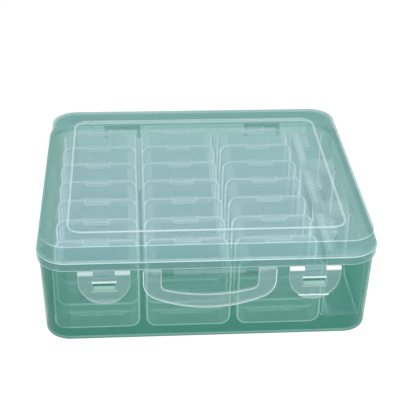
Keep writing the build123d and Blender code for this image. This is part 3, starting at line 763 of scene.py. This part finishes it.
def lidParts():
    # The shallow dish, a hook that goes round the tray's bar, and the snap tongue over its top.
    b, h, t = smallBox, boxHinge, tongue
    points, faces, glow = dish(b["lid"], -1, b["lidGlow"], b["topGlow"], b["lidFace"])
    parts = [(points + np.array([0, b["tray"] + b["lid"], 0]), faces, glow)]
    y, root, top = b["tray"], b["drop"] + h["root"], b["drop"] + b["height"]
    reach, thick = h["bar"] + h["play"], h["hook"]
    near, far, under = y + reach, y - reach, h["barHigh"] - reach
    low = under - thick + 0.05
    hook = [(near, root), (near, under), (far, under), (far, h["barHigh"]), (far - thick, h["barHigh"]),
            (far - thick, low), (near + thick, low), (near + thick, root)]
    half = h["width"] / 2 - h["ear"] - h["play"]
    parts.append(facingOut(prism(hook, -half, half, edgeGlow=h["hookGlow"], flatGlow=h["hookFaces"])))
    front, back, rise, wall = y - t["reach"], y + t["root"], top + t["rise"], t["wall"]
    seat, tip = top - t["seat"], top + t["tip"]
    lip = [(back, seat), (back, rise), (front, rise), (front, tip), (front + wall, tip),
           (front + wall, rise - wall), (back - wall, rise - wall), (back - wall, seat)]
    parts.append(facingOut(prism(lip, -t["width"] / 2, t["width"] / 2, soft=t["soft"],
                                 edgeGlow=t["edgeGlow"], flatGlow=t["faces"])))
    return joined(parts)


def boxPlaces():
    # Columns from front to back, then the side column, which is turned a quarter.
    b, s = smallBox, stack
    depth = b["tray"] + b["lid"]
    width = s["columns"] * b["width"] + (s["columns"] - 1) * s["columnGap"] + s["sideGap"] + depth
    length = s["rows"] * depth + (s["rows"] - 1) * s["rowGap"]
    places = np.meshgrid(np.arange(s["columns"]), np.arange(s["rows"]), indexing="ij")
    column, row = (v.ravel() for v in places)
    x = -width / 2 + b["width"] / 2 + column * (b["width"] + s["columnGap"])
    y = -length / 2 + row * (depth + s["rowGap"])
    side = (np.arange(s["sideBoxes"]) - (s["sideBoxes"] - 1) / 2) * (b["width"] + s["columnGap"])
    return ([(a, c, 0, r == 0) for a, c, r in zip(x, y, row)]
            + [(width / 2, c, 1, False) for c in side])


tray, cover = trayParts(smallBox["trayFace"], 0.0), lidParts()
frontTray = trayParts(smallBox["frontFace"], smallBox["frontLow"])
for number, (x, y, quarter, inFront) in enumerate(boxPlaces(), 1):
    body = f"small_box_{number:02d}"
    for kind, part in (("tray", frontTray if inFront else tray), ("lid", cover)):
        node = f"box_{kind}_{number:02d}"
        makePiece("clear_" + node, placed(part, x, y, stack["foot"], quarter), clearBoxes, body,
                  [node])
print("small boxes made")


# ---- floor, light and camera

studio = {"floorColour": (0.50, 0.50, 0.50), "floorLift": 0.62, "floorReach": 6.0, "floorDrop": 0.0003,
          "surround": 0.62}
lamps = {"top_lamp": {"power": 5.0, "size": (1.6, 1.2), "place": (-0.3, 0.1, 1.5), "target": (0, 0, 0.03)},
         "side_lamp": {"power": 2.5, "size": (0.18, 0.30), "place": (0.21, -0.72, 0.55),
                       "target": (0.04, -0.08, 0.05)}}


def seenOutright(nodes, links):
    # 1 where the camera looks at it, straight or through a reflection or a clear wall.
    rays = nodes.new("ShaderNodeLightPath")
    seen = mathNode(nodes, links, "MAXIMUM", rays.outputs["Is Camera Ray"], rays.outputs["Is Glossy Ray"])
    return mathNode(nodes, links, "MAXIMUM", seen, rays.outputs["Is Transmission Ray"])


def makeFloor():
    # A pale sheet that takes the shadow, lifted towards white only where it is seen.
    mesh = bpy.data.meshes.new("studio_floor")
    reach, drop = studio["floorReach"], studio["floorDrop"]
    mesh.from_pydata([(-reach, -reach, -drop), (reach, -reach, -drop), (reach, reach, -drop),
                      (-reach, reach, -drop)], [], [(0, 1, 2, 3)])
    material = bpy.data.materials.new("paleFloor")
    material.use_nodes = True
    nodes, links = material.node_tree.nodes, material.node_tree.links
    paint = nodes["Principled BSDF"]
    paint.inputs["Base Color"].default_value = (*studio["floorColour"], 1)
    paint.inputs["Roughness"].default_value = 0.9
    paint.inputs["Specular IOR Level"].default_value = 0.0
    paint.inputs["Emission Color"].default_value = (1, 1, 1, 1)
    lift = mathNode(nodes, links, "MULTIPLY", seenOutright(nodes, links), studio["floorLift"])
    links.new(lift, paint.inputs["Emission Strength"])
    mesh.materials.append(material)
    floor = bpy.data.objects.new("studio_floor", mesh)
    bpy.context.collection.objects.link(floor)


def makeWorld():
    # The surroundings light everything evenly, and are plain white where they are seen.
    world = bpy.data.worlds.new("paleStudio")
    bpy.context.scene.world = world
    world.use_nodes = True
    nodes, links = world.node_tree.nodes, world.node_tree.links
    back = nodes["Background"]
    back.inputs["Color"].default_value = (1, 1, 1, 1)
    level = mathNode(nodes, links, "MULTIPLY_ADD", seenOutright(nodes, links), 1 - studio["surround"],
                     studio["surround"])
    links.new(level, back.inputs["Strength"])


def softLamp(name, power, size, place, target):
    # An area lamp whose own -Z looks at the target: Z is away from it, X is level, and Y is Z x X.
    lamp = bpy.data.lights.new(name, "AREA")
    lamp.shape, lamp.size, lamp.size_y, lamp.energy = "RECTANGLE", size[0], size[1], power
    holder = bpy.data.objects.new(name, lamp)
    bpy.context.collection.objects.link(holder)
    away = np.array(place) - np.array(target)
    across = np.cross((0, 0, 1), away)
    across /= np.linalg.norm(across)
    away = away / np.linalg.norm(away)
    matrix = np.eye(4)
    matrix[:3, 0], matrix[:3, 1], matrix[:3, 2], matrix[:3, 3] = across, np.cross(away, across), away, place
    holder.matrix_world = matrix.T.tolist()      # given column by column


view = {"place": (-51.35, -691.82, 475.04), "yaw": 0.083, "pitch": 0.554, "roll": 0.023,
        "lens": 90.32, "sensor": 36.0}


def makeCamera():
    # It looks along (sin yaw cos pitch, cos yaw cos pitch, -sin pitch), and rolls about that line.
    yaw, pitch, roll = view["yaw"], view["pitch"], view["roll"]
    ahead = np.array([math.sin(yaw) * math.cos(pitch), math.cos(yaw) * math.cos(pitch), -math.sin(pitch)])
    right = np.array([math.cos(yaw), -math.sin(yaw), 0.0])
    up = np.cross(right, ahead)
    matrix = np.eye(4)
    matrix[:3, 0] = math.cos(roll) * right + math.sin(roll) * up
    matrix[:3, 1] = math.cos(roll) * up - math.sin(roll) * right
    matrix[:3, 2] = -ahead
    matrix[:3, 3] = np.array(view["place"]) * mm
    lens = bpy.data.cameras.new("view_camera")
    lens.lens, lens.sensor_width = view["lens"], view["sensor"]
    lens.clip_start, lens.clip_end = 0.01, 50.0
    holder = bpy.data.objects.new("view_camera", lens)
    bpy.context.collection.objects.link(holder)
    holder.matrix_world = matrix.T.tolist()      # given column by column
    bpy.context.scene.camera = holder


makeFloor()
makeWorld()
for name, lamp in lamps.items():
    softLamp(name, **lamp)
makeCamera()
bpy.context.scene.view_settings.view_transform = "Standard"
bpy.context.scene.cycles.transparent_max_bounces = 128    # many thin walls stand one behind another
print("studio made")
